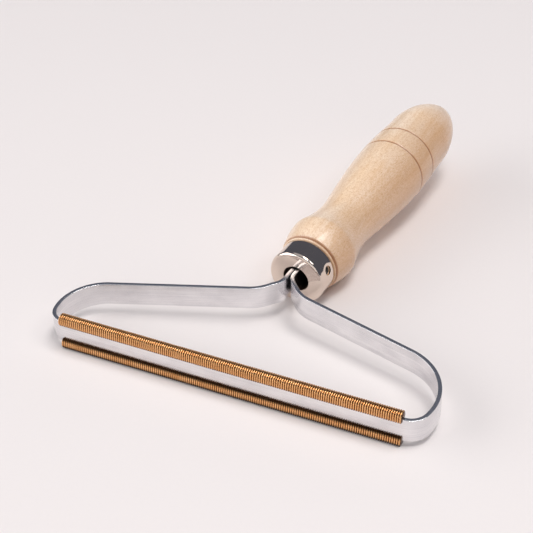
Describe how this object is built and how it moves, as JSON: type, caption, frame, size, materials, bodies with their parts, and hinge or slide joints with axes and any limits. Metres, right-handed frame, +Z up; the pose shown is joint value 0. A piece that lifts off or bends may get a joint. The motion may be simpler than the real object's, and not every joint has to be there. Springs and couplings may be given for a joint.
{
  "type": "fabric comb",
  "caption": "Hand-held fabric comb: a turned wooden handle with a ferrule holds a bent flat band, and ribbed combs along its straight front edges lift lint and pilling off cloth.",
  "frame": {"origin": "middle of the bounding box, on the ground that the tool lies on", "axes": "+Y from the combs towards the handle's butt, +X along the combs, +Z up from the ground"},
  "size_m": [0.15, 0.1994, 0.0359],
  "materials": {
    "wood": "clear lacquer, satin",
    "chrome": "bright plated",
    "steel": "bright rolled strip",
    "copper": "bright, copper coloured"
  },
  "bodies": {
    "root": {"handle": "wood", "ferrule": "chrome", "head_band": "steel", "upper_comb": "copper", "lower_comb": "copper", "cross_pin": "steel"}
  },
  "joints": []
}
